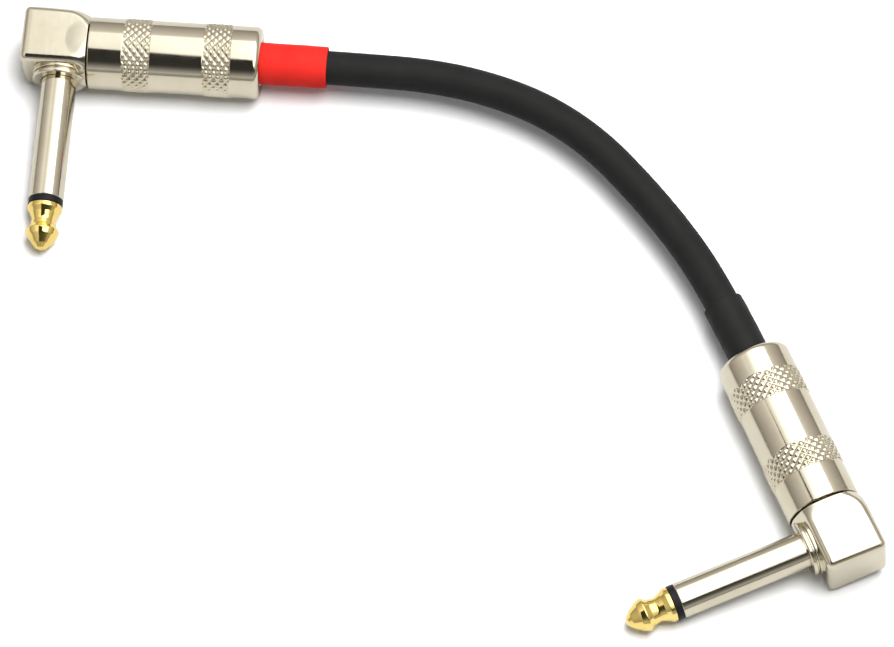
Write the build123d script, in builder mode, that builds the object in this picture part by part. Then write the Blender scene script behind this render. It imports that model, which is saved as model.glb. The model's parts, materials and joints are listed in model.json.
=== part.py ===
"""Short instrument patch cable: two right-angle 6.35 mm mono plugs on one screened cable.

Millimetres, +Z up, table at Z = 0. Each plug has its own plane: its origin is where the barrel
axis and the finger axis cross, its x runs along the barrel to the cable, and its y runs along
the finger to the tip. Lengths along either axis are measured from that crossing.
"""
import os
from math import cos, pi, radians, sin, tan

from build123d import *

# Where each plug lies: its axis crossing, the heading of its barrel towards the cable, and the
# side of that heading that its finger is on (1 is left, -1 is right)
PLUG_PLACES = {"a": (-69.28, 52.69, -4.0, -1), "b": (67.62, -44.21, 111.6, 1)}
FINGER_DROP = 5.97  # degrees that each finger leans down, so that its tip rests on the table

# Finger of the plug
FINGER_RADIUS = 6.35 / 2
ROD_RADIUS = 1.1
TUBE_RADIUS = 2.1
TUBE_BACK = 2.5
RING_RADIUS = 3.13
SLEEVE_ROOT = 3.2
ROOT_RADIUS = 2.9
COLLAR_FACE = 6.1
COLLAR_RADIUS = 5.0
COLLAR_GROOVE = 0.5
COLLAR_HALF_GROOVE = 0.15
COLLAR_CHAMFER = 0.3
SLEEVE_END = 29.5
RING_END = 30.7
TIP_BACK_RADIUS = 3.02
TIP_SHOULDER_RADIUS = 3.12
TIP_SHOULDER = 31.4
TIP_NECK = 33.5
TIP_NECK_RADIUS = 2.1
TIP_RIM = 35.6
TIP_RIM_HALF_WIDTH = 0.3
TIP_RIM_CROWN = 0.08
TIP_RIM_RADIUS = 3.04
TIP_END = 39.15
TIP_FLANK = (2.4, 37.4)
TIP_NOSE_RADIUS = 1.6
ROD_FRONT = 32.6
ROD_BACK = -1.4

# Elbow block
BLOCK_BACK = -7.0
BLOCK_FRONT = 0.8
BLOCK_FAR_SIDE = -6.5
BLOCK_FINGER_SIDE = 4.5
BLOCK_HALF_THICKNESS = 5.85
BLOCK_LEAN = 2.0  # degrees that each flat face leans, thicker on the finger side
BLOCK_EDGE = 0.6
NECK_FACE = 4.9
SPIGOT_END = 13.0
SPIGOT_RADIUS = 5.15
SPIGOT_BORE = 4.0
ELBOW_BORE = 3.0
ELBOW_BORE_END = -4.2

# Barrel, which unscrews from the spigot, and the insulating liner that slides with it
BARREL_RADIUS = 6.6
BAND_RADIUS = 6.75
BARREL_FRONT = 5.2
BARREL_BACK = 36.4
BARREL_SHOULDER = 1.6
BARREL_CHAMFER = 0.2
BAND_STARTS = (11.45, 26.1)
BAND_LENGTH = 5.0
THREAD_BORE = 5.45
THREAD_END = 13.9
LINER_BORE = 5.6
BACK_WALL = 1.5
CABLE_HOLE = 4.15
LINER_OUTER = 5.3
LINER_INNER = 4.75
LINER_FRONT = 14.3
LINER_BACK = 34.6

# Insulation and solder terminals in the elbow and the barrel
ELBOW_LINER_INNER = 2.4
ELBOW_LINER_END = 11.0
LUG_WASHER_END = 13.0
TIP_LUG_TOP = -0.4
TIP_LUG_THICKNESS = 0.6
TIP_LUG_HALF_WIDTH = 1.4
TIP_LUG_EYE = 2.0
TIP_LUG_END = 18.4
STRAP_TOP = -3.15
STRAP_THICKNESS = 0.7
STRAP_HALF_WIDTH = 1.05
CLAW_START = 29.0
STRAP_END = 33.0
CLAW_OPENING = 110.0  # degrees left open above the cable

# Cable: outer radius of each layer, and how close each comes to its plug's axis crossing
JACKET_RADIUS = 3.1
SHIELD_RADIUS = 1.8
SCREEN_RADIUS = 1.5
DIELECTRIC_RADIUS = 1.2
CORE_RADIUS = 0.4
JACKET_START = 28.0
SHIELD_START = 27.0
DIELECTRIC_START = 19.0
CORE_START = 15.0
STRAIGHT_END = 50.0
SHRINK_START = 33.4
SHRINK_END = 48.4
SHRINK_RADIUS = {"a": 3.85, "b": 3.7}
SHRINK_NAME = {"a": "red_heat_shrink", "b": "black_heat_shrink"}
PIGTAIL_RADIUS = 0.45
PIGTAIL_HEIGHT = -1.7
PIGTAIL_BEND = 23.5
PIGTAIL_END = 19.5
SOLDER_RADIUS = 1.1
SOLDER_HEIGHT = 0.95
SOLDER_TAPER = 25.0
WIRE_CLEARANCE = 0.02
TIP_SOLDER_AT = 16.7
GROUND_SOLDER_AT = 21.0

# The bend of the cable between its two straight ends, chosen by hand
CABLE_BEND = [(4.0, 46.9, 6.75), (23.9, 37.8, 6.75), (39.5, 18.9, 6.75)]
ARC_SHARE = 0.45  # part of the shorter run beside a corner that its arc takes up


def plug_plane(x, y, heading, side):
    """Plane of a plug, with its barrel level and its finger dropped onto the table."""
    along_barrel = Vector(1, 0, 0).rotate(Axis.Z, heading)
    level = along_barrel.rotate(Axis.Z, 90 * side)
    drop = radians(FINGER_DROP)
    along_finger = level * cos(drop) - Vector(0, 0, 1) * sin(drop)
    across = along_barrel.cross(along_finger)
    return Plane(origin=(x, y, BAND_RADIUS), x_dir=along_barrel, z_dir=across)


def on_barrel(plug, distance):
    """Plane across the barrel axis: its x is the finger's direction, its z is the barrel's."""
    centre = plug.from_local_coords(Vector(distance, 0, 0))
    return Plane(origin=centre, x_dir=plug.y_dir, z_dir=plug.x_dir)


def on_finger(plug, distance):
    """Plane across the finger axis: its x is the barrel's direction, its z is the finger's."""
    centre = plug.from_local_coords(Vector(0, distance, 0))
    return Plane(origin=centre, x_dir=plug.x_dir, z_dir=plug.y_dir)


def barrel_axis(plug):
    return Axis(plug.origin, plug.x_dir)


def finger_axis(plug):
    return Axis(plug.origin, plug.y_dir)


def save(piece, name):
    piece.part.label = name
    export_step(piece.part, f"parts/{name}.step")


def make_elbow_housing(plug):
    """Cast block with two flat faces, a round neck and a threaded spigot for the barrel."""
    middle = (BLOCK_FAR_SIDE + BLOCK_FINGER_SIDE) / 2
    width = BLOCK_FINGER_SIDE - BLOCK_FAR_SIDE
    reach = 2 * BARREL_RADIUS
    low, high = (BLOCK_HALF_THICKNESS + reach * s * tan(radians(BLOCK_LEAN)) for s in (-1, 1))
    with BuildPart() as elbow:
        with BuildSketch(on_barrel(plug, BLOCK_FRONT)):
            with Locations((middle, 0)):
                Rectangle(width, reach)
        with BuildSketch(on_barrel(plug, NECK_FACE)):
            Circle(BARREL_RADIUS)
        loft()
        with BuildSketch(on_barrel(plug, BLOCK_BACK)):
            with Locations((middle, 0)):
                Rectangle(width, reach)
        extrude(amount=BLOCK_FRONT - BLOCK_BACK)
        with BuildSketch(on_barrel(plug, BLOCK_BACK)):
            for up in (1, -1):
                with BuildLine():
                    Polyline((-reach, up * low), (reach, up * high),
                             (reach, up * reach), (-reach, up * reach), close=True)
                make_face()
        extrude(amount=NECK_FACE - BLOCK_BACK, mode=Mode.SUBTRACT)
        back_face = elbow.faces().sort_by(barrel_axis(plug))[0]
        fillet(back_face.edges(), BLOCK_EDGE)
        with BuildSketch(on_barrel(plug, NECK_FACE)):
            Circle(SPIGOT_RADIUS)
        extrude(amount=SPIGOT_END - NECK_FACE)
        with BuildSketch(on_barrel(plug, ELBOW_BORE_END)):
            Circle(ELBOW_BORE)
        extrude(amount=NECK_FACE - ELBOW_BORE_END, mode=Mode.SUBTRACT)
        with BuildSketch(on_barrel(plug, NECK_FACE)):
            Circle(SPIGOT_BORE)
        extrude(amount=SPIGOT_END - NECK_FACE, mode=Mode.SUBTRACT)
        for radius, start, stop in ((TUBE_RADIUS, 0, SLEEVE_ROOT),
                                    (ROOT_RADIUS, SLEEVE_ROOT, BLOCK_FINGER_SIDE),
                                    (COLLAR_RADIUS, BLOCK_FINGER_SIDE, BARREL_RADIUS + 1)):
            with BuildSketch(on_finger(plug, start)):
                Circle(radius)
            extrude(amount=stop - start, mode=Mode.SUBTRACT)
    return elbow


def make_finger_collar(plug):
    """Stepped ring around the root of the finger, with a groove between its two flanges."""
    middle = (BLOCK_FINGER_SIDE + COLLAR_FACE) / 2
    with BuildPart() as collar:
        with BuildSketch(plug):
            with BuildLine():
                Polyline((ROOT_RADIUS, BLOCK_FINGER_SIDE),
                         (COLLAR_RADIUS, BLOCK_FINGER_SIDE),
                         (COLLAR_RADIUS, middle - COLLAR_HALF_GROOVE),
                         (COLLAR_RADIUS - COLLAR_GROOVE, middle),
                         (COLLAR_RADIUS, middle + COLLAR_HALF_GROOVE),
                         (COLLAR_RADIUS, COLLAR_FACE - COLLAR_CHAMFER),
                         (COLLAR_RADIUS - COLLAR_CHAMFER, COLLAR_FACE),
                         (ROOT_RADIUS, COLLAR_FACE), close=True)
            make_face()
        revolve(axis=finger_axis(plug))
    return collar


def make_sleeve_contact(plug):
    """Grounded tube of the finger, its thinner root pressed into the elbow and the collar."""
    with BuildPart() as sleeve:
        for radius, start, stop in ((ROOT_RADIUS, SLEEVE_ROOT, COLLAR_FACE),
                                    (FINGER_RADIUS, COLLAR_FACE, SLEEVE_END)):
            with BuildSketch(on_finger(plug, start)):
                Circle(radius)
                Circle(TUBE_RADIUS, mode=Mode.SUBTRACT)
            extrude(amount=stop - start)
    return sleeve


def make_finger_insulator(plug):
    """Plastic tube that holds the tip rod in the middle of the sleeve."""
    with BuildPart() as tube:
        with BuildSketch(on_finger(plug, TUBE_BACK)):
            Circle(TUBE_RADIUS)
            Circle(ROD_RADIUS, mode=Mode.SUBTRACT)
        extrude(amount=SLEEVE_END - TUBE_BACK)
    return tube


def make_tip_ring(plug):
    """Insulating ring between the sleeve and the tip."""
    with BuildPart() as ring:
        with BuildSketch(on_finger(plug, SLEEVE_END)):
            Circle(RING_RADIUS)
            Circle(ROD_RADIUS, mode=Mode.SUBTRACT)
        extrude(amount=RING_END - SLEEVE_END)
    return ring


def make_tip_contact(plug):
    """Turned tip: shoulder, hollow neck, rim and rounded point, drilled for the rod."""
    shoulder = (TIP_SHOULDER_RADIUS, TIP_SHOULDER)
    rim_back = (TIP_RIM_RADIUS - TIP_RIM_CROWN, TIP_RIM - TIP_RIM_HALF_WIDTH)
    rim_front = (TIP_RIM_RADIUS - TIP_RIM_CROWN, TIP_RIM + TIP_RIM_HALF_WIDTH)
    with BuildPart() as tip:
        with BuildSketch(plug):
            with BuildLine():
                Polyline((0, TIP_END), (0, ROD_FRONT), (ROD_RADIUS, ROD_FRONT),
                         (ROD_RADIUS, RING_END), (TIP_BACK_RADIUS, RING_END), shoulder)
                ThreePointArc(shoulder, (TIP_NECK_RADIUS, TIP_NECK), rim_back)
                ThreePointArc(rim_back, (TIP_RIM_RADIUS, TIP_RIM), rim_front)
                nose = CenterArc((0, TIP_END - TIP_NOSE_RADIUS), TIP_NOSE_RADIUS, 90, -40)
                Polyline(rim_front, TIP_FLANK, nose @ 1)
            make_face()
        revolve(axis=finger_axis(plug))
    return tip


def make_tip_rod(plug):
    """Brass rod from the tip contact back to the solder lug in the elbow."""
    with BuildPart() as rod:
        with BuildSketch(on_finger(plug, ROD_BACK)):
            Circle(ROD_RADIUS)
        extrude(amount=ROD_FRONT - ROD_BACK)
    return rod


def make_elbow_liner(plug):
    """Insulating tube in the elbow's bore, with a hole where the finger comes in."""
    with BuildPart() as liner:
        with BuildSketch(on_barrel(plug, ELBOW_BORE_END)):
            Circle(ELBOW_BORE)
            Circle(ELBOW_LINER_INNER, mode=Mode.SUBTRACT)
        extrude(amount=ELBOW_LINER_END - ELBOW_BORE_END)
        with BuildSketch(on_finger(plug, 0)):
            Circle(TUBE_RADIUS)
        extrude(amount=BLOCK_FINGER_SIDE, mode=Mode.SUBTRACT)
    return liner


def make_tip_lug(plug):
    """Flat brass lug, riveted to the rod, that carries the signal into the barrel."""
    with BuildPart() as lug:
        with BuildSketch(on_finger(plug, TIP_LUG_TOP - TIP_LUG_THICKNESS)):
            Circle(TIP_LUG_EYE)
            with Locations((TIP_LUG_END / 2, 0)):
                Rectangle(TIP_LUG_END, 2 * TIP_LUG_HALF_WIDTH)
            Circle(ROD_RADIUS, mode=Mode.SUBTRACT)
        extrude(amount=TIP_LUG_THICKNESS)
    return lug


def make_lug_washer(plug):
    """Insulating washer in the mouth of the spigot, slotted for the tip lug."""
    with BuildPart() as washer:
        with BuildSketch(on_barrel(plug, ELBOW_LINER_END + STRAP_THICKNESS)):
            Circle(SPIGOT_BORE)
            with Locations((TIP_LUG_TOP - TIP_LUG_THICKNESS / 2, 0)):
                Rectangle(TIP_LUG_THICKNESS, 2 * TIP_LUG_HALF_WIDTH, mode=Mode.SUBTRACT)
            with Locations((-SPIGOT_BORE, 0)):
                notch = 2 * (SPIGOT_BORE + STRAP_TOP)
                Rectangle(notch, 2 * STRAP_HALF_WIDTH, mode=Mode.SUBTRACT)
        extrude(amount=LUG_WASHER_END - ELBOW_LINER_END - STRAP_THICKNESS)
    return washer


def make_ground_strap(plug):
    """Sheet strap from a ring in the spigot to the claws that grip the cable's jacket."""
    claw_middle = JACKET_RADIUS + STRAP_THICKNESS / 2
    with BuildPart() as strap:
        with BuildSketch(on_barrel(plug, ELBOW_LINER_END)):
            Circle(SPIGOT_BORE)
            Circle(ELBOW_LINER_INNER, mode=Mode.SUBTRACT)
        extrude(amount=STRAP_THICKNESS)
        with BuildSketch(on_finger(plug, STRAP_TOP - STRAP_THICKNESS)):
            with Locations(((ELBOW_LINER_END + STRAP_END) / 2, 0)):
                Rectangle(STRAP_END - ELBOW_LINER_END, 2 * STRAP_HALF_WIDTH)
        extrude(amount=STRAP_THICKNESS)
        with BuildSketch(on_barrel(plug, CLAW_START)):
            with BuildLine():
                CenterArc((0, 0), claw_middle, CLAW_OPENING / 2, 360 - CLAW_OPENING)
                offset(amount=STRAP_THICKNESS / 2, side=Side.BOTH)
            make_face()
        extrude(amount=STRAP_END - CLAW_START)
    return strap


def make_solder_joint(plug, along, base, wire_height, wire_radius):
    """Mound of solder on a lug, pierced by the wire that it holds."""
    seat = Plane(plug.from_local_coords(Vector(along, base, 0)), x_dir=plug.x_dir, z_dir=plug.y_dir)
    wire = plug.from_local_coords(Vector(along - 2 * SOLDER_RADIUS, wire_height, 0))
    with BuildPart() as mound:
        with BuildSketch(seat):
            Circle(SOLDER_RADIUS)
        extrude(amount=SOLDER_HEIGHT, taper=SOLDER_TAPER)
        with BuildSketch(Plane(wire, z_dir=plug.x_dir)):
            Circle(wire_radius + WIRE_CLEARANCE)
        extrude(amount=4 * SOLDER_RADIUS, mode=Mode.SUBTRACT)
    return mound


def make_shield_pigtail(plug):
    """The cable's shield, twisted together and laid down on the ground strap."""
    rest = STRAP_TOP + PIGTAIL_RADIUS
    bends = [(SHIELD_START, PIGTAIL_HEIGHT, 0), (PIGTAIL_BEND, rest, 0), (PIGTAIL_END, rest, 0)]
    with BuildPart() as pigtail:
        with BuildLine() as route:
            FilletPolyline(*[plug.from_local_coords(Vector(*p)) for p in bends],
                           radius=4 * PIGTAIL_RADIUS)
        with BuildSketch(Plane(plug.from_local_coords(Vector(*bends[0])), z_dir=route.line % 0)):
            Circle(PIGTAIL_RADIUS)
        sweep()
    return pigtail


def make_barrel(plug):
    """Nickel barrel with two raised grip bands, a threaded mouth and a hole for the cable."""
    inner_back = BARREL_BACK - BACK_WALL
    shoulder = BARREL_RADIUS - BARREL_SHOULDER
    profile = [(BARREL_FRONT, THREAD_BORE), (BARREL_FRONT, BARREL_RADIUS - BARREL_CHAMFER),
               (BARREL_FRONT + BARREL_CHAMFER, BARREL_RADIUS)]
    for start in BAND_STARTS:
        for along, radius in ((start, BARREL_RADIUS), (start, BAND_RADIUS),
                              (start + BAND_LENGTH, BAND_RADIUS),
                              (start + BAND_LENGTH, BARREL_RADIUS)):
            profile.append((along, radius))
    profile.append((BARREL_BACK - BARREL_SHOULDER, BARREL_RADIUS))
    with BuildPart() as barrel:
        with BuildSketch(plug):
            with BuildLine():
                Polyline(*profile)
                CenterArc((BARREL_BACK - BARREL_SHOULDER, shoulder), BARREL_SHOULDER, 90, -90)
                Polyline((BARREL_BACK, shoulder), (BARREL_BACK, CABLE_HOLE),
                         (inner_back, CABLE_HOLE), (inner_back, LINER_BORE),
                         (THREAD_END, LINER_BORE), (THREAD_END, THREAD_BORE),
                         (BARREL_FRONT, THREAD_BORE))
            make_face()
        revolve(axis=barrel_axis(plug))
    return barrel


def make_barrel_liner(plug):
    """Plastic tube that keeps the solder terminals off the barrel."""
    with BuildPart() as liner:
        with BuildSketch(on_barrel(plug, LINER_FRONT)):
            Circle(LINER_OUTER)
            Circle(LINER_INNER, mode=Mode.SUBTRACT)
        extrude(amount=LINER_BACK - LINER_FRONT)
    return liner


def cable_points(start):
    """Corners of the cable's run, from one plug to the other, that begin at a stripped end."""
    plug_a, plug_b = (plug_plane(*PLUG_PLACES[end]) for end in "ab")
    leave = [plug_a.from_local_coords(Vector(d, 0, 0)) for d in (start, STRAIGHT_END)]
    arrive = [plug_b.from_local_coords(Vector(d, 0, 0)) for d in (STRAIGHT_END, start)]
    return leave + [Vector(*p) for p in CABLE_BEND] + arrive


def cable_radii():
    """Radius at each corner: as large as the shorter run beside it allows."""
    points = cable_points(JACKET_START)
    runs = [after - before for before, after in zip(points, points[1:])]
    radii = []
    for before, after in zip(runs, runs[1:]):
        turn = radians(before.get_angle(after))
        radii.append(ARC_SHARE * min(before.length, after.length) / tan(turn / 2))
    return radii


def make_cable_layer(start, outer, inner):
    """One round layer of the cable, from one stripped end to the other."""
    with BuildPart() as layer:
        with BuildLine() as route:
            FilletPolyline(*cable_points(start), radius=cable_radii())
        with BuildSketch(Plane(route.line @ 0, z_dir=route.line % 0)):
            Circle(outer)
            if inner:
                Circle(inner, mode=Mode.SUBTRACT)
        sweep()
    return layer


def make_heat_shrink(plug, outer):
    """Shrunk sleeve on the jacket, half inside the barrel, that follows the cable's first bend."""
    with BuildPart() as sleeve:
        with BuildLine() as route:
            FilletPolyline(*cable_points(JACKET_START), radius=cable_radii())
        with BuildSketch(Plane(route.line @ 0, z_dir=route.line % 0)):
            Circle(outer)
            Circle(JACKET_RADIUS, mode=Mode.SUBTRACT)
        sweep()
        with BuildSketch(on_barrel(plug, SHRINK_START)):
            Circle(BARREL_RADIUS)
        extrude(amount=SHRINK_END - SHRINK_START, mode=Mode.INTERSECT)
    return sleeve


os.makedirs("parts", exist_ok=True)

for end, place in PLUG_PLACES.items():
    plug = plug_plane(*place)
    save(make_elbow_housing(plug), f"elbow_housing_{end}")
    save(make_finger_collar(plug), f"finger_collar_{end}")
    save(make_sleeve_contact(plug), f"sleeve_contact_{end}")
    save(make_finger_insulator(plug), f"finger_insulator_{end}")
    save(make_tip_ring(plug), f"tip_ring_{end}")
    save(make_tip_contact(plug), f"tip_contact_{end}")
    save(make_tip_rod(plug), f"tip_rod_{end}")
    save(make_elbow_liner(plug), f"elbow_liner_{end}")
    save(make_tip_lug(plug), f"tip_lug_{end}")
    save(make_lug_washer(plug), f"lug_washer_{end}")
    save(make_ground_strap(plug), f"ground_strap_{end}")
    save(make_solder_joint(plug, TIP_SOLDER_AT, TIP_LUG_TOP, 0, CORE_RADIUS),
         f"tip_solder_{end}")
    save(make_solder_joint(plug, GROUND_SOLDER_AT, STRAP_TOP, STRAP_TOP + PIGTAIL_RADIUS,
                           PIGTAIL_RADIUS), f"ground_solder_{end}")
    save(make_shield_pigtail(plug), f"shield_pigtail_{end}")
    save(make_barrel(plug), f"barrel_{end}")
    save(make_barrel_liner(plug), f"barrel_liner_{end}")
    save(make_heat_shrink(plug, SHRINK_RADIUS[end]), f"{SHRINK_NAME[end]}_{end}")

CABLE_LAYERS = {
    "cable_jacket": (JACKET_START, JACKET_RADIUS, SHIELD_RADIUS),
    "cable_shield": (SHIELD_START, SHIELD_RADIUS, SCREEN_RADIUS),
    "cable_screen_layer": (SHIELD_START, SCREEN_RADIUS, DIELECTRIC_RADIUS),
    "cable_dielectric": (DIELECTRIC_START, DIELECTRIC_RADIUS, CORE_RADIUS),
    "cable_core": (CORE_START, CORE_RADIUS, 0),
}
for name, (start, outer, inner) in CABLE_LAYERS.items():
    layer = make_cable_layer(start, outer, inner)
    save(layer, name)
    route = FilletPolyline(*cable_points(start), radius=cable_radii())
    section = pi * (outer * outer - inner * inner)
    share = layer.part.volume / (section * route.length)
    print(f"{name}: {route.length:.1f} mm long, volume over section x length {share:.4f}")

print("corner radii:", [round(r, 1) for r in cable_radii()])
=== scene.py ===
"""Looks of the instrument patch cable: two right-angle plugs joined by a short cable.

Plug coordinates: u runs along the barrel towards the cable, v along the finger to its tip,
w is across both and points up. Lengths in the tables below are millimetres.
"""

import json
import math

import bpy
import numpy as np
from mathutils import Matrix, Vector


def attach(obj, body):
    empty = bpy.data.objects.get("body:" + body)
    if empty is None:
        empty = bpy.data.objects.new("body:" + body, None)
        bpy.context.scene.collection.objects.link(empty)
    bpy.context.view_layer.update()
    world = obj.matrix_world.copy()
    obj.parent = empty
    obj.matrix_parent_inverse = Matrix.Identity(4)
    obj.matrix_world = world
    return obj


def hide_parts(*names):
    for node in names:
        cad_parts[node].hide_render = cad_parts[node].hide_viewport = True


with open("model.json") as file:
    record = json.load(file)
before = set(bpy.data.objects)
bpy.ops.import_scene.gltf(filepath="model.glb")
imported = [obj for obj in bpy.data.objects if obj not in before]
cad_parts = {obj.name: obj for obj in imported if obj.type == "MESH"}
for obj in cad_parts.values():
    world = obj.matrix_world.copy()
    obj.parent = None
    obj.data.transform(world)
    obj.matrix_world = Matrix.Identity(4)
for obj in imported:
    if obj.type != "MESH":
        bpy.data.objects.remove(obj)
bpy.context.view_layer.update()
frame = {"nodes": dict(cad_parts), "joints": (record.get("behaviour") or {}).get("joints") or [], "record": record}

MM = 0.001
ROOT = "cable_and_plugs"
rng = np.random.default_rng(11)


# ---------------------------------------------------------------- camera

ELEVATION = math.radians(62.64)
DISTANCE = 0.75935
target = Vector((0.00072, 0.00039, 0.0))
camera_data = bpy.data.cameras.new("camera")
camera_data.sensor_width = 36.0
camera_data.lens = 171.9
camera_data.clip_start = 0.05
camera_data.clip_end = 20.0
camera = bpy.data.objects.new("camera", camera_data)
back = Vector((0.0, -math.cos(ELEVATION), math.sin(ELEVATION)))
camera.location = target + back * DISTANCE
camera.rotation_mode = "QUATERNION"
camera.rotation_quaternion = (-back).to_track_quat("-Z", "Y")
bpy.context.scene.collection.objects.link(camera)
bpy.context.scene.camera = camera


# ---------------------------------------------------------------- places of the two plugs

def unit(vector):
    vector = np.array(vector, float)
    return vector / np.linalg.norm(vector)


class Plug:
    """One plug's axes, from the record's joint and mount."""

    def __init__(self, letter):
        joint = next(j for j in frame["joints"] if j["name"] == f"barrel_{letter}_turn")
        mount = next(m for m in frame["record"]["mounts"] if m["name"] == f"plug_{letter}")
        self.letter = letter
        self.u = unit(joint["axis"])
        tip = unit(mount["axis"])
        self.v = unit(tip - (tip @ self.u) * self.u)
        across = np.cross(self.u, self.v)
        self.w = across if across[2] > 0 else -across
        self.origin = np.array(joint["pos_m"], float) - 20 * MM * self.u

    def points(self, u, v, w):
        u, v, w = np.broadcast_arrays(u, v, w)
        return self.origin + MM * (
            u[..., None] * self.u + v[..., None] * self.v + w[..., None] * self.w
        )


plugs = {letter: Plug(letter) for letter in "ab"}


# ---------------------------------------------------------------- mesh helpers

def add_mesh(name, verts, faces):
    """A mesh object whose faces point outwards."""
    mesh = bpy.data.meshes.new(name)
    mesh.from_pydata([tuple(p) for p in verts], [], [tuple(f) for f in faces])
    mesh.validate()
    points = np.array(verts, float)
    mesh.calc_loop_triangles()
    tris = np.array([t.vertices[:] for t in mesh.loop_triangles])
    a, b, c = (points[tris[:, k]] for k in range(3))
    if np.einsum("ij,ij->i", a, np.cross(b, c)).sum() < 0:
        mesh.flip_normals()
    mesh.polygons.foreach_set("use_smooth", np.ones(len(mesh.polygons), bool))
    mesh.update()
    thing = bpy.data.objects.new(name, mesh)
    bpy.context.scene.collection.objects.link(thing)
    return thing


def ring_faces(count, around, joined):
    """Quads between rings of points, ring i to ring i + 1."""
    i = np.arange(count if joined else count - 1)[:, None]
    j = np.arange(around)[None, :]
    k = (i + 1) % count
    n = (j + 1) % around
    quads = np.stack([i * around + j, i * around + n, k * around + n, k * around + j], -1)
    return [list(q) for q in quads.reshape(-1, 4)]


def ring_mesh(name, rings, joined=False):
    """A closed surface through rings of points: a torus if joined, else with both ends capped."""
    rings = np.asarray(rings, float)
    count, around, _ = rings.shape
    verts = list(rings.reshape(-1, 3))
    faces = ring_faces(count, around, joined)
    if not joined:
        for start, row in ((0, rings[0]), ((count - 1) * around, rings[-1])):
            middle = len(verts)
            verts.append(row.mean(0))
            faces += [[middle, start + j, start + (j + 1) % around] for j in range(around)]
    return add_mesh(name, verts, faces)


def rounded(corners, joined, support=0.04, steps=6):
    """Profile points (place, radius) with each corner (place, radius, fillet) rounded."""
    out = []
    count = len(corners)
    for i, (s, r, fillet) in enumerate(corners):
        here = np.array([s, r], float)
        if not joined and i in (0, count - 1):
            out.append(here)
            continue
        before = np.array(corners[i - 1][:2], float) - here
        after = np.array(corners[(i + 1) % count][:2], float) - here
        room = 0.45 * min(np.linalg.norm(before), np.linalg.norm(after))
        a, b = unit(before), unit(after)
        angle = math.acos(float(np.clip(a @ b, -1, 1)))
        cut = min(fillet / math.tan(angle / 2), room) if fillet else 0.0
        if cut < 1e-4 or angle > math.radians(178):
            out.append(here)
            continue
        radius = cut * math.tan(angle / 2)
        centre = here + unit(a + b) * radius / math.sin(angle / 2)
        start, stop = here + a * cut, here + b * cut
        margin = min(support, 0.3 * cut)
        out.append(start + a * margin)
        first, last = start - centre, stop - centre
        sweep = math.acos(float(np.clip(unit(first) @ unit(last), -1, 1)))
        side = 1 if first[0] * last[1] - first[1] * last[0] > 0 else -1
        for step in range(steps + 1):
            t = side * sweep * step / steps
            turn = np.array([[math.cos(t), -math.sin(t)], [math.sin(t), math.cos(t)]])
            out.append(centre + turn @ first)
        out.append(stop + b * margin)
    return np.array(out)


def lathe(name, plug, axis, corners, joined, around=128):
    """A turned piece about the plug's barrel ("u") or finger ("v") axis."""
    profile = rounded(corners, joined)
    turn = np.linspace(0, 2 * math.pi, around, endpoint=False)
    place = profile[:, 0][:, None] + 0 * turn
    one = profile[:, 1][:, None] * np.cos(turn)
    two = profile[:, 1][:, None] * np.sin(turn)
    rings = plug.points(place, one, two) if axis == "u" else plug.points(one, place, two)
    if joined:
        return ring_mesh(name, rings, joined=True)
    return ring_mesh(name, rings[1:-1], joined=False)


# ---------------------------------------------------------------- materials

def new_material(name):
    material = bpy.data.materials.new(name)
    material.use_nodes = True
    tree = material.node_tree
    return material, tree, tree.nodes["Principled BSDF"]


def noise(tree, scale, detail=4.0, stretch=None, roughness=0.6):
    """A noise texture on the piece's coordinates; stretch is (scale, rotation) per axis."""
    where = tree.nodes.new("ShaderNodeTexCoord")
    texture = tree.nodes.new("ShaderNodeTexNoise")
    texture.inputs["Scale"].default_value = scale
    texture.inputs["Detail"].default_value = detail
    texture.inputs["Roughness"].default_value = roughness
    if stretch is None:
        tree.links.new(where.outputs["Object"], texture.inputs["Vector"])
    else:
        mapping = tree.nodes.new("ShaderNodeMapping")
        mapping.inputs["Rotation"].default_value = stretch[1]
        mapping.inputs["Scale"].default_value = stretch[0]
        tree.links.new(where.outputs["Object"], mapping.inputs["Vector"])
        tree.links.new(mapping.outputs["Vector"], texture.inputs["Vector"])
    return texture.outputs["Fac"]


def ramp(tree, source, stops):
    """Colour or grey from a value: stops are (position, colour or number)."""
    node = tree.nodes.new("ShaderNodeValToRGB")
    elements = node.color_ramp.elements
    while len(elements) < len(stops):
        elements.new(0.5)
    for element, (position, value) in zip(elements, stops):
        element.position = position
        element.color = (*value, 1) if hasattr(value, "__len__") else (value,) * 3 + (1,)
    tree.links.new(source, node.inputs["Fac"])
    return node.outputs["Color"]


def bump(tree, shader, source, strength, distance, before=None):
    node = tree.nodes.new("ShaderNodeBump")
    node.inputs["Strength"].default_value = strength
    node.inputs["Distance"].default_value = distance
    tree.links.new(source, node.inputs["Height"])
    if before is not None:
        tree.links.new(before, node.inputs["Normal"])
    tree.links.new(node.outputs["Normal"], shader.inputs["Normal"])
    return node.outputs["Normal"]


def metal(name, light, dark, smooth, rough, grain=0.02, stretch=None, scale=900.0):
    """A plated or bare metal: faint tarnish clouds, uneven polish, fine scratches."""
    material, tree, shader = new_material(name)
    shader.inputs["Metallic"].default_value = 1.0
    clouds = noise(tree, 140.0, 5.0)
    tree.links.new(ramp(tree, clouds, [(0.32, dark), (0.62, light)]), shader.inputs["Base Color"])
    polish = noise(tree, 420.0, 6.0)
    tree.links.new(ramp(tree, polish, [(0.3, smooth), (0.72, rough)]), shader.inputs["Roughness"])
    lines = noise(tree, scale, 3.0, stretch)
    bump(tree, shader, lines, grain, 0.0002)
    return material


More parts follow.
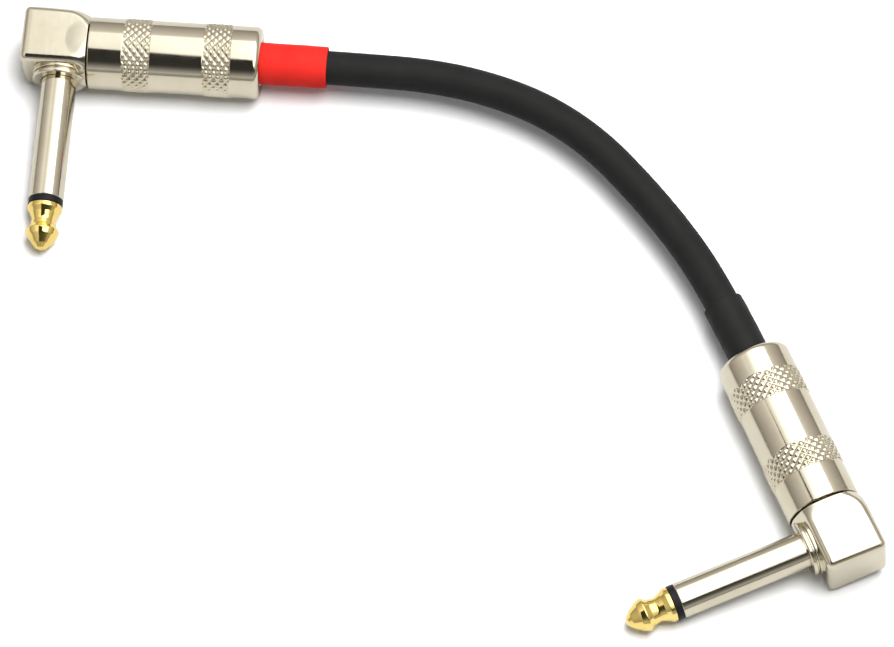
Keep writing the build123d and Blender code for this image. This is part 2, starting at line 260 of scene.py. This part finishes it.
def plastic(name, light, dark, rough, scale=600.0, grain=0.12, specular=0.5, distance=0.0002):
    """A moulded plastic, rubber or board: mottled colour, uneven gloss, fine grain."""
    material, tree, shader = new_material(name)
    shader.inputs["Specular IOR Level"].default_value = specular
    clouds = noise(tree, 170.0, 6.0)
    tree.links.new(ramp(tree, clouds, [(0.3, dark), (0.7, light)]), shader.inputs["Base Color"])
    gloss = noise(tree, 350.0, 4.0)
    tree.links.new(ramp(tree, gloss, [(0.3, rough - 0.06), (0.7, rough + 0.08)]),
                   shader.inputs["Roughness"])
    bump(tree, shader, noise(tree, scale, 5.0), grain, distance)
    return material


NICKEL = ((0.70, 0.645, 0.51), (0.65, 0.59, 0.45))
nickel = metal("nickel_turned", *NICKEL, 0.08, 0.13)
nickel_cast = metal("nickel_cast", *NICKEL, 0.10, 0.17, grain=0.05,
                    stretch=((1.0, 0.08, 1.0), (0.0, 0.0, 0.07)))
nickel_knurl = metal("nickel_knurl", (0.72, 0.66, 0.51), (0.60, 0.54, 0.40), 0.08, 0.14)
gold = metal("gold_plate", (1.0, 0.78, 0.27), (0.88, 0.64, 0.18), 0.07, 0.13)
brass = metal("brass_bare", (0.74, 0.55, 0.25), (0.58, 0.41, 0.17), 0.22, 0.36)
tin = metal("tinned_steel", (0.66, 0.66, 0.66), (0.50, 0.50, 0.50), 0.25, 0.42)
solder = metal("solder_dull", (0.58, 0.58, 0.60), (0.42, 0.42, 0.44), 0.30, 0.48, grain=0.15)
copper = metal("copper_strand", (0.85, 0.42, 0.25), (0.66, 0.29, 0.16), 0.22, 0.38)
black_plastic = plastic("black_insulator", (0.012, 0.012, 0.013), (0.006, 0.006, 0.007), 0.42,
                        specular=0.15)
clear_plastic = plastic("insulator_pale", (0.72, 0.70, 0.62), (0.62, 0.60, 0.52), 0.35)
fibre = plastic("fibre_board", (0.30, 0.17, 0.08), (0.20, 0.10, 0.05), 0.70, grain=0.3)
liner_plastic = plastic("liner_plastic", (0.55, 0.55, 0.52), (0.46, 0.46, 0.43), 0.40)
jacket_rubber = plastic("jacket_rubber", (0.0125, 0.0125, 0.0122), (0.0095, 0.0095, 0.0093), 0.60,
                        scale=1500.0, grain=0.25, specular=0.12)
carbon = plastic("carbon_plastic", (0.020, 0.020, 0.020), (0.010, 0.010, 0.010), 0.60)
dielectric = plastic("dielectric", (0.80, 0.79, 0.75), (0.72, 0.71, 0.66), 0.42)
red_sleeve = plastic("red_sleeve", (0.66, 0.026, 0.019), (0.60, 0.018, 0.013), 0.60,
                     scale=900.0, grain=0.12, specular=0.06)
black_sleeve = plastic("black_sleeve", (0.0115, 0.0115, 0.0112), (0.0085, 0.0085, 0.0083), 0.55,
                       scale=900.0, grain=0.15, specular=0.14)

SLOT_LOOKS = {
    "nickel": nickel, "gold": gold, "brass": brass, "tinned_steel": tin, "solder": solder,
    "copper": copper, "black_insulator": black_plastic, "clear_insulator": clear_plastic,
    "fibre_board": fibre, "liner_plastic": liner_plastic, "jacket": jacket_rubber,
    "carbon_plastic": carbon, "dielectric": dielectric, "red_sleeve": red_sleeve,
    "black_sleeve": black_sleeve,
}
CAD_LOOKS = {
    "finger_insulator": "black_insulator", "tip_rod": "brass", "elbow_liner": "liner_plastic",
    "tip_lug": "tinned_steel", "lug_washer": "fibre_board", "ground_strap": "tinned_steel",
    "tip_solder": "solder", "ground_solder": "solder", "shield_pigtail": "copper",
    "barrel_liner": "clear_insulator",
}


def dress(thing, look, slot_name, body, *nodes):
    """Gives a piece its material and body, and hides the CAD nodes that it stands for; slot_name is not used."""
    materials = look if isinstance(look, (list, tuple)) else [look]
    thing.data.materials.clear()
    for material in materials:
        thing.data.materials.append(material)
    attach(thing, body)
    if nodes:
        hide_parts(*nodes)
    return thing


# ---------------------------------------------------------------- cable

ROUTE = [(-41.35, 50.74, 6.75), (-19.40, 49.20, 6.75), (4.0, 46.9, 6.75), (23.9, 37.8, 6.75),
         (39.5, 18.9, 6.75), (49.21, 2.28, 6.75), (57.31, -18.18, 6.75)]
JACKET_RADIUS = 3.1
JACKET_START = 28.0  # places along the barrel's axis: stripped end, sleeve's ends, barrel's mouth
SHRINK_START, SHRINK_END = 33.4, 48.4
BARREL_BACK = 36.4


def cable_curve(name, bevel):
    data = bpy.data.curves.new(name, "CURVE")
    data.dimensions = "3D"
    data.resolution_u = 40
    data.bevel_depth = bevel
    data.bevel_resolution = 12
    data.use_fill_caps = True
    spline = data.splines.new("NURBS")
    spline.points.add(len(ROUTE) - 1)
    for point, place in zip(spline.points, ROUTE):
        point.co = (*(x * MM for x in place), 1.0)
    spline.order_u = 3
    spline.use_endpoint_u = True
    thing = bpy.data.objects.new(name, data)
    bpy.context.scene.collection.objects.link(thing)
    return thing


cable = cable_curve("cable_jacket_skin", JACKET_RADIUS * MM)
guide = cable_curve("guide", 0.0)
line_mesh = bpy.data.meshes.new_from_object(guide)
route_line = np.array([p.co for p in line_mesh.vertices])
bpy.data.objects.remove(guide)
bpy.data.meshes.remove(line_mesh)
if np.linalg.norm(route_line[0] - np.array(ROUTE[0]) * MM) > MM:
    route_line = route_line[::-1]
route_length = np.concatenate([[0], np.cumsum(np.linalg.norm(np.diff(route_line, axis=0), axis=1))])


def along_route(distance):
    """Places on the cable's line at distances (mm) from its start, and the directions there."""
    distance = np.asarray(distance, float) * MM
    place = np.stack([np.interp(distance, route_length, route_line[:, k]) for k in range(3)], -1)
    ahead = np.stack(
        [np.interp(distance + 0.4 * MM, route_length, route_line[:, k]) for k in range(3)], -1)
    behind = np.stack(
        [np.interp(distance - 0.4 * MM, route_length, route_line[:, k]) for k in range(3)], -1)
    way = ahead - behind
    return place, way / np.linalg.norm(way, axis=1)[:, None]


def route_tube(name, profile, joined, wobble=None, around=96):
    """A tube of (distance, radius) profile points about the cable's line."""
    place, way = along_route(profile[:, 0])
    side = np.cross(way, (0, 0, 1))
    side /= np.linalg.norm(side, axis=1)[:, None]
    up = np.cross(side, way)
    turn = np.linspace(0, 2 * math.pi, around, endpoint=False)
    radius = profile[:, 1][:, None] + 0 * turn[None, :]
    if wobble is not None:
        radius = radius + wobble(profile[:, 0][:, None], profile[:, 1][:, None], turn[None, :])
    rings = place[:, None, :] + MM * radius[..., None] * (
        np.cos(turn)[None, :, None] * side[:, None, :]
        + np.sin(turn)[None, :, None] * up[:, None, :]
    )
    return ring_mesh(name, rings, joined=joined)


total = route_length[-1] / MM


def shrink_sleeve(name, start, stop, radius, look, slot_name, node):
    """A shrunk sleeve: it hugs the jacket, thickens a little in the middle, with uneven ends."""
    inner = JACKET_RADIUS + 0.03
    places = np.linspace(start + 0.12, stop - 0.12, 60)
    share = (places - start) / (stop - start)
    skin = radius - 0.10 + 0.08 * np.sin(math.pi * share) ** 0.5
    outer = np.stack([places, skin], -1)
    edge = 0.30
    lead = [(start + 0.0, inner), (start, radius - edge), (start + 0.03, radius - 0.19)]
    tail = [(stop - 0.03, radius - 0.19), (stop, radius - edge), (stop, inner)]
    profile = np.array(lead + [tuple(p) for p in outer] + tail)
    phase = rng.uniform(0, 6.28, 6)

    def wobble(place, base, turn):
        outside = (base > inner + 0.05).astype(float)
        waves = 0.02 * np.sin(2 * turn + phase[0] + place * 0.4)
        waves = waves + 0.012 * np.sin(5 * turn + phase[1] - place * 0.9)
        waves = waves + 0.010 * np.sin(3 * turn + phase[2] + place * 1.7)
        return outside * waves

    sleeve = route_tube(name, profile, True, wobble)
    dress(sleeve, look, slot_name, ROOT, node)
    return sleeve


near, far = SHRINK_START - JACKET_START, SHRINK_END - JACKET_START
shrink_sleeve("red_shrink_sleeve", near, far, 3.85, red_sleeve, "red_sleeve",
              "red_heat_shrink_a")
shrink_sleeve("black_shrink_sleeve", total - far, total - near, 3.7, black_sleeve,
              "black_sleeve", "black_heat_shrink_b")


def stripped_layer(name, plug, start, stop, radius, ridges, depth, twist, look, slot_name, node):
    """A layer of the stripped cable end inside the barrel, its strands as twisted ridges."""
    places = np.linspace(start, stop, max(12, int((stop - start) * 8)))
    turn = np.linspace(0, 2 * math.pi, ridges * 6, endpoint=False)
    lay = turn[None, :] + twist * places[:, None]
    skin = radius - depth + depth * np.abs(np.sin(ridges * lay / 2))
    skin[0] *= 0.9
    skin[-1] *= 0.9
    rings = plug.points(places[:, None] + 0 * turn, skin * np.cos(turn), skin * np.sin(turn))
    layer = ring_mesh(name, rings)
    dress(layer, look, slot_name, ROOT)
    return layer


for letter, plug in plugs.items():
    stripped_layer(f"shield_strands_{letter}", plug, 27.0, 28.4, 1.8, 24, 0.08, 0.5, copper,
                   "copper", "cable_shield")
    stripped_layer(f"screen_end_{letter}", plug, 25.2, 27.2, 1.5, 12, 0.02, 0.0, carbon,
                   "carbon_plastic", "cable_screen_layer")
    stripped_layer(f"dielectric_end_{letter}", plug, 19.0, 25.4, 1.2, 12, 0.02, 0.0, dielectric,
                   "dielectric", "cable_dielectric")
    stripped_layer(f"core_strands_{letter}", plug, 15.0, 19.2, 0.4, 7, 0.08, 1.2, copper,
                   "copper", "cable_core")

dress(cable, jacket_rubber, "jacket", ROOT, "cable_jacket", "cable_shield",
      "cable_screen_layer", "cable_dielectric", "cable_core")
exit_place = plugs["a"].points(BARREL_BACK, 0.0, 0.0)


# ---------------------------------------------------------------- elbow housing

def round_max(a, b, radius):
    """Intersection of two solids given by distance, with a rounded edge."""
    outside = np.hypot(np.maximum(a + radius, 0), np.maximum(b + radius, 0)) - radius
    return np.where(np.maximum(a, b) < -radius, np.maximum(a, b), outside)


def soft_min(a, b, radius):
    """Union of two solids given by distance, with a soft inner corner."""
    mix = np.maximum(radius - np.abs(a - b), 0) / radius
    return np.minimum(a, b) - mix * mix * radius / 4


LEAN_ANGLE = math.radians(2.0)
LEAN = math.tan(LEAN_ANGLE)
BLOCK_BACK, BLOCK_FAR_SIDE, BLOCK_FINGER_SIDE, HALF_THICKNESS = -7.0, -6.5, 4.5, 5.85
PLAN_ROUND, FLAT_ROUND, BALL_ROUND, NECK_ROUND = 1.1, 1.4, 0.35, 0.4
NECK_START, NECK_THROAT = 0.6, 4.3
ELBOW_CENTRE = -1.0
THREAD_PITCH = 25.4 / 32
NECK_RADIUS, NECK_FACE = 6.35, 4.9
# The ball that the block turns on: its place and radius on the far side, and on the finger's side
BALL_FAR, BALL_NEAR = (0.275, 8.0), (0.62, 7.35)
BALL_FLARE = 0.08


def elbow_distance(u, v, w):
    """Distance to the elbow's outer skin: a block with two flats, turned round at its neck."""
    flats = (np.abs(w) - (HALF_THICKNESS + LEAN * v)) * math.cos(LEAN_ANGLE)
    sides = np.maximum(v - BLOCK_FINGER_SIDE, BLOCK_FAR_SIDE - v)
    block = round_max(sides, BLOCK_BACK - u, PLAN_ROUND)
    block = round_max(block, flats, FLAT_ROUND)
    side = np.clip((v + 2) / 4, 0, 1)
    side = side * side * (3 - 2 * side)
    middle = BALL_FAR[0] + (BALL_NEAR[0] - BALL_FAR[0]) * side
    radius = BALL_FAR[1] + (BALL_NEAR[1] - BALL_FAR[1]) * side
    radius = radius + BALL_FLARE * np.maximum(middle - u, 0)
    ball = np.sqrt(np.maximum(u - middle, 0) ** 2 + v ** 2 + w ** 2) - radius
    block = round_max(block, ball, BALL_ROUND)
    climb = np.clip((u - NECK_START) / (NECK_FACE - NECK_START), 0, 1)
    swell = (NECK_RADIUS - NECK_THROAT) * np.sqrt(1 - (1 - climb) ** 2)
    neck = np.hypot(v, w) - (NECK_THROAT + swell)
    neck = round_max(np.maximum(neck, 0.4 - u), flats, NECK_ROUND)
    return soft_min(block, neck, 0.8)


def elbow_reach(start_u, along, outward, turn):
    """How far the skin is from the barrel's axis along rays, found by bisection."""
    low = np.zeros(np.broadcast(start_u, turn).shape)
    high = low + 14.0
    for _ in range(34):
        middle = (low + high) / 2
        inside = elbow_distance(start_u + along * middle, outward * middle * np.cos(turn),
                                outward * middle * np.sin(turn)) < 0
        low = np.where(inside, middle, low)
        high = np.where(inside, high, middle)
    return (low + high) / 2


def make_elbow(plug):
    """Elbow skin, threaded spigot and bore, as rings about the barrel's axis."""
    around = 288
    turn = np.linspace(0, 2 * math.pi, around, endpoint=False)[None, :]
    rows = []
    tilt = np.radians(np.linspace(89.5, 2, 56))[:, None]
    reach = elbow_reach(ELBOW_CENTRE, -np.sin(tilt), np.cos(tilt), turn)
    rows.append((ELBOW_CENTRE - np.sin(tilt) * reach, np.cos(tilt) * reach))
    places = np.concatenate([np.linspace(ELBOW_CENTRE, 4.7, 48), [4.8, 4.86]])[:, None]
    reach = elbow_reach(places, 0.0, 1.0, turn)
    rows.append((places + 0 * reach, reach))
    end = reach[-1:]
    for share in (0.995, 0.985, 0.93):
        rows.append((np.full_like(end, NECK_FACE), end * share))
    threaded = np.arange(5.3, 12.7, THREAD_PITCH / 8)
    spigot = np.concatenate([[NECK_FACE], threaded, [12.72, 12.95, 13.0]])[:, None]
    fade = np.clip((spigot - 5.6) / 0.4, 0, 1) * np.clip((12.5 - spigot) / 0.4, 0, 1)
    wave = np.abs(2 * ((spigot / THREAD_PITCH - turn / (2 * math.pi)) % 1) - 1)
    skin = 5.15 - 0.10 * (1 - fade) + fade * (0.22 * wave - 0.14)
    skin = np.where(spigot > 12.8, 4.9, skin)
    rows.append((spigot + 0 * turn, skin))
    for place, radius in ((13.0, 4.1), (12.95, 4.0), (5.0, 4.0), (4.9, 3.0), (0.5, 3.0)):
        rows.append((np.full((1, around), place), np.full((1, around), radius)))
    u = np.concatenate([r[0] for r in rows])
    radius = np.concatenate([r[1] for r in rows])
    rings = plug.points(u, radius * np.cos(turn), radius * np.sin(turn))
    elbow = ring_mesh(f"elbow_{plug.letter}", rings)
    return dress(elbow, nickel_cast, "nickel", ROOT, f"elbow_housing_{plug.letter}")


# ---------------------------------------------------------------- barrel

DIAMONDS_AROUND, STEPS, BAND_ROWS = 25, 10, 35
BAND_STARTS, BAND_LENGTH = (11.45, 26.1), 5.0
KNURL_VALLEY, KNURL_HEIGHT, KNURL_EDGE = 6.42, 0.31, 6.58
BARREL_FRONT, BARREL_RADIUS = 5.2, 6.6


def make_barrel(plug):
    """Turned barrel with two bands of cut diamond knurl."""
    around = DIAMONDS_AROUND * STEPS
    turn = np.arange(around) * 2 * math.pi / around
    outer = rounded([(BARREL_FRONT, 5.6, 0), (BARREL_FRONT, BARREL_RADIUS, 0.18),
                     (BARREL_BACK, BARREL_RADIUS, 1.6), (BARREL_BACK, 4.15, 0.35),
                     (34.9, 4.15, 0)], joined=False)
    split = int(np.argmax(outer[:, 0] > 20))
    inner = [(34.9, 5.6), (14.1, 5.6), (13.9, 5.45), (5.5, 5.45)]
    rows, bands = [(s, r + 0 * turn) for s, r in outer[:split]], []
    for start in BAND_STARTS:
        rows.append((start - 0.10, BARREL_RADIUS + 0 * turn))
        rows.append((start - 0.02, BARREL_RADIUS + 0 * turn))
        first = len(rows)
        for i in range(BAND_ROWS + 1):
            j = np.arange(around)
            ridges = np.abs(np.sin(math.pi * (i + j) / STEPS) * np.sin(math.pi * (i - j) / STEPS))
            edge = min(1.0, min(i, BAND_ROWS - i) / 1.5)
            skin = edge * (KNURL_VALLEY + KNURL_HEIGHT * ridges ** 0.6) + (1 - edge) * KNURL_EDGE
            rows.append((start + BAND_LENGTH * i / BAND_ROWS, skin))
        bands.append((first, len(rows) - 1))
        rows.append((start + BAND_LENGTH + 0.02, BARREL_RADIUS + 0 * turn))
        rows.append((start + BAND_LENGTH + 0.10, BARREL_RADIUS + 0 * turn))
    rows += [(s, r + 0 * turn) for s, r in outer[split:]]
    rows += [(s, r + 0 * turn) for s, r in inner]
    u = np.array([r[0] for r in rows])[:, None]
    radius = np.array([r[1] for r in rows])
    rings = plug.points(u + 0 * radius, radius * np.cos(turn), radius * np.sin(turn))
    count = len(rows)
    faces, knurl = [], []
    for i in range(count):
        k = (i + 1) % count
        band_row = None
        for first, last in bands:
            if first <= i < last:
                band_row = i - first
        for j in range(around):
            n = (j + 1) % around
            a, b, c, d = i * around + j, i * around + n, k * around + n, k * around + j
            if band_row is None:
                faces.append([a, b, c, d])
            elif (band_row + j + 1) % STEPS == 0:
                knurl += [len(faces), len(faces) + 1]
                faces += [[a, b, d], [b, c, d]]
            else:
                knurl += [len(faces), len(faces) + 1]
                faces += [[a, b, c], [a, c, d]]
    letter = plug.letter
    barrel = add_mesh(f"barrel_{letter}_shell", rings.reshape(-1, 3), faces)
    dress(barrel, [nickel, nickel_knurl], "nickel", f"barrel_{letter}", f"barrel_{letter}")
    index = np.zeros(len(barrel.data.polygons), np.int32)
    index[knurl] = 1
    barrel.data.polygons.foreach_set("material_index", index)
    return barrel


# ---------------------------------------------------------------- finger

def make_finger(plug):
    """Collar, sleeve, black ring and gold tip, turned about the finger's axis."""
    letter = plug.letter
    collar = lathe(f"collar_{letter}", plug, "v",
                   [(4.3, 2.95, 0), (4.3, 4.9, 0.1), (4.98, 4.92, 0.16), (5.04, 4.4, 0.06),
                    (5.30, 4.4, 0.06), (5.36, 4.9, 0.18), (6.1, 4.86, 0.25), (6.1, 3.32, 0.05),
                    (5.8, 3.30, 0.03), (5.8, 2.95, 0)], True)
    dress(collar, nickel, "nickel", ROOT, f"finger_collar_{letter}")
    sleeve = lathe(f"sleeve_{letter}", plug, "v",
                   [(4.0, 2.3, 0), (4.0, 2.9, 0), (5.6, 2.9, 0.05), (5.75, 3.175, 0.12),
                    (29.5, 3.175, 0.16), (29.5, 2.3, 0)], True)
    dress(sleeve, nickel, "nickel", ROOT, f"sleeve_contact_{letter}")
    ring = lathe(f"tip_ring_{letter}_black", plug, "v",
                 [(29.46, 1.6, 0), (29.46, 3.0, 0.05), (29.55, 3.13, 0.06), (30.65, 3.13, 0.1),
                  (30.72, 2.9, 0), (30.72, 1.6, 0)], True)
    dress(ring, black_plastic, "black_insulator", ROOT, f"tip_ring_{letter}")
    tip = lathe(f"tip_{letter}", plug, "v",
                [(30.6, 0.0, 0), (30.6, 2.6, 0), (30.74, 3.04, 0.1), (31.5, 3.13, 0.3),
                 (32.3, 2.6, 0.5), (33.5, 2.13, 1.0), (34.7, 2.40, 0.9), (35.65, 3.05, 0.36),
                 (36.7, 2.70, 1.2), (38.2, 1.65, 1.2), (38.95, 0.90, 0.6), (39.15, 0.30, 0.25),
                 (39.15, 0.0, 0)], False)
    dress(tip, gold, "gold", ROOT, f"tip_contact_{letter}")


for letter, plug in plugs.items():
    make_elbow(plug)
    make_barrel(plug)
    make_finger(plug)

for name, node in frame["nodes"].items():
    stem = name[:-2]
    if stem in CAD_LOOKS:
        node.data.materials.clear()
        node.data.materials.append(SLOT_LOOKS[CAD_LOOKS[stem]])


# ---------------------------------------------------------------- studio

def staged(name, corners, look):
    """One flat sheet of the studio, which isn't part of the object."""
    mesh = bpy.data.meshes.new(name)
    mesh.from_pydata(corners, [], [tuple(range(len(corners)))])
    mesh.update()
    thing = bpy.data.objects.new(name, mesh)
    bpy.context.scene.collection.objects.link(thing)
    mesh.materials.append(look)
    return thing


def card(name, corners, look):
    """A sheet out of view that only shows as a reflection in the plating."""
    thing = staged(name, corners, look)
    thing.visible_camera = False
    thing.visible_shadow = False
    thing.visible_diffuse = False
    thing.visible_transmission = False
    return thing


def floor_look(name, grey):
    """A plain matt sheet."""
    material, tree, shader = new_material(name)
    shader.inputs["Base Color"].default_value = (grey, grey, grey, 1)
    shader.inputs["Roughness"].default_value = 0.9
    shader.inputs["Specular IOR Level"].default_value = 0.1
    return material


def glow_look(name, axis, stops, strength):
    """Light given off by a card, fading along one axis: stops are (metres, brightness)."""
    material = bpy.data.materials.new(name)
    material.use_nodes = True
    tree = material.node_tree
    tree.nodes.clear()
    where = tree.nodes.new("ShaderNodeTexCoord")
    split = tree.nodes.new("ShaderNodeSeparateXYZ")
    spread = tree.nodes.new("ShaderNodeMapRange")
    first, last = stops[0][0], stops[-1][0]
    spread.inputs["From Min"].default_value = first
    spread.inputs["From Max"].default_value = last
    glow = tree.nodes.new("ShaderNodeEmission")
    glow.inputs["Strength"].default_value = strength
    out = tree.nodes.new("ShaderNodeOutputMaterial")
    tree.links.new(where.outputs["Object"], split.inputs["Vector"])
    tree.links.new(split.outputs[axis], spread.inputs["Value"])
    scaled = [((place - first) / (last - first), value) for place, value in stops]
    tree.links.new(ramp(tree, spread.outputs["Result"], scaled), glow.inputs["Color"])
    tree.links.new(glow.outputs["Emission"], out.inputs["Surface"])
    return material


# Two floors: a white one in view, overexposed so that shadows stay close to the object, and a
# greyer one that the plating mirrors
square = [(-3, -3), (3, -3), (3, 3), (-3, 3)]
floor = staged("floor", [(x, y, 0) for x, y in square], floor_look("floor_white", 0.88))
floor.visible_glossy = False
floor.visible_diffuse = False
floor.visible_shadow = False
mirrored = staged("floor_in_plating", [(x, y, -0.0003) for x, y in square],
                  floor_look("floor_grey", 0.55))
mirrored.visible_camera = False

# What the plating mirrors overhead: a bright panel with a slanting front edge, and beyond that
# edge a dark side that fades to brown
PANEL_HEIGHT = 0.30
panel_shape = [(-0.17, 0.075), (0.06, -0.225), (0.13, -0.27), (0.24, -0.12), (0.20, 0.20),
               (0.10, 0.31), (-0.17, 0.31)]
panel_look = glow_look("panel_glow", "X", [(-0.17, 0.30), (-0.11, 0.42), (-0.08, 0.55),
                                           (0.00, 0.85), (0.20, 1.0)], 2.9)
card("light_panel", [(x, y, PANEL_HEIGHT) for x, y in panel_shape], panel_look)
dark_shape = [(-0.16, 0.05), (0.06, -0.235), (0.13, -0.28), (0.75, -0.55), (0.75, -1.9),
              (-0.62, -1.9), (-0.34, -0.70), (-0.22, -0.20), (-0.18, 0.0)]
dark_look = glow_look("dark_glow", "Y", [(-1.9, 0.70), (-1.2, 0.50), (-0.70, 0.28),
                                         (-0.50, 0.12), (-0.36, 0.04), (0.10, 0.018)], 1.0)
card("dark_side", [(x, y, PANEL_HEIGHT - 0.002) for x, y in dark_shape], dark_look)

# Surroundings that grow brighter from the horizon up, for reflections only
world = bpy.data.worlds.new("studio")
bpy.context.scene.world = world
world.use_nodes = True
sky = world.node_tree
sky_where = sky.nodes.new("ShaderNodeTexCoord")
sky_split = sky.nodes.new("ShaderNodeSeparateXYZ")
sky.links.new(sky_where.outputs["Generated"], sky_split.inputs["Vector"])
sky_colour = ramp(sky, sky_split.outputs["Z"],
                  [(0.0, (0.33, 0.31, 0.30)), (0.17, (0.44, 0.42, 0.40)),
                   (0.45, (0.62, 0.59, 0.56)), (0.64, (0.79, 0.76, 0.73)),
                   (0.80, (1.15, 1.12, 1.08))])
sky.links.new(sky_colour, sky.nodes["Background"].inputs["Color"])
world.cycles_visibility.diffuse = False


def area(name, place, aim, size, power):
    """A lamp that lights matt surfaces and casts the shadows, and doesn't show in the plating."""
    data = bpy.data.lights.new(name, "AREA")
    data.shape = "RECTANGLE"
    data.size, data.size_y = size
    data.energy = power
    thing = bpy.data.objects.new(name, data)
    thing.location = place
    thing.rotation_mode = "QUATERNION"
    thing.rotation_quaternion = (Vector(aim) - Vector(place)).to_track_quat("-Z", "Y")
    thing.visible_glossy = False
    bpy.context.scene.collection.objects.link(thing)
    return thing


area("key", (0.14, 0.05, 0.60), (0.14, 0.05, 0.0), (0.34, 0.50), 6.3)
area("fill", (-0.05, 0.05, 1.1), (-0.05, 0.05, 0.0), (2.4, 2.4), 14.0)

bpy.context.scene.view_settings.view_transform = "Standard"
